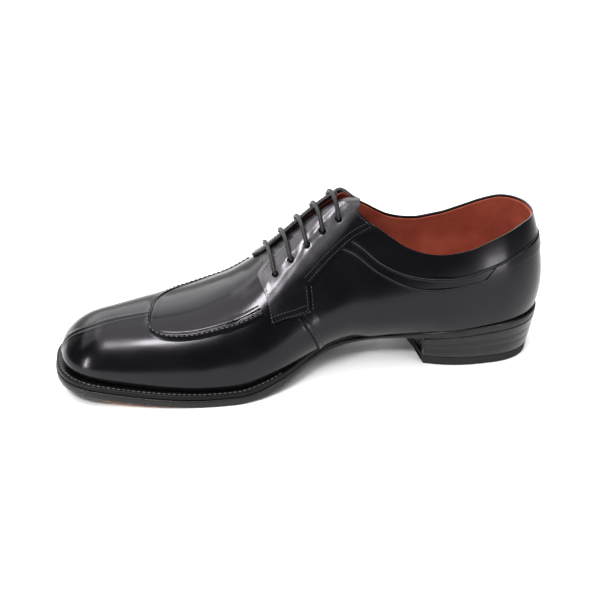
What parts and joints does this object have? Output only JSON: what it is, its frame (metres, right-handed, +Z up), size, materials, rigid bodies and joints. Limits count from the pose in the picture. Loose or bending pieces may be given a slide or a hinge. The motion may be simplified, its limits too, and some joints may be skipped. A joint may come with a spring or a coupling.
{
  "type": "open-laced dress shoe",
  "caption": "Right dress shoe with open lacing, split toe, raised apron seam, slim waist, welted leather sole and stacked heel.",
  "frame": {"origin": "on the floor under the centre of the heel", "axes": "+X to the toe, +Y to the inner side of the foot, +Z up"},
  "size_m": [0.3068, 0.0983, 0.1127],
  "materials": {
    "calf": "polished black calf",
    "lining": "tan lining leather",
    "sole_edge": "black inked and waxed sole leather",
    "heel_leather": "black inked and waxed stacked leather",
    "heel_rubber": "matt black rubber",
    "lace": "waxed black cotton"
  },
  "bodies": {
    "root": {"outsole": "sole_edge", "welt": "sole_edge", "heel_stack": "heel_leather", "top_piece": "heel_rubber", "insole": "lining", "upper": "calf", "tongue": "calf", "facing_inner": "calf", "facing_outer": "calf", "heel_strip": "calf", "apron_seam": "calf", "lace_bar_1": "lace", "lace_bar_2": "lace", "lace_bar_3": "lace", "lace_bar_4": "lace", "lace_bar_5": "lace"}
  },
  "joints": []
}
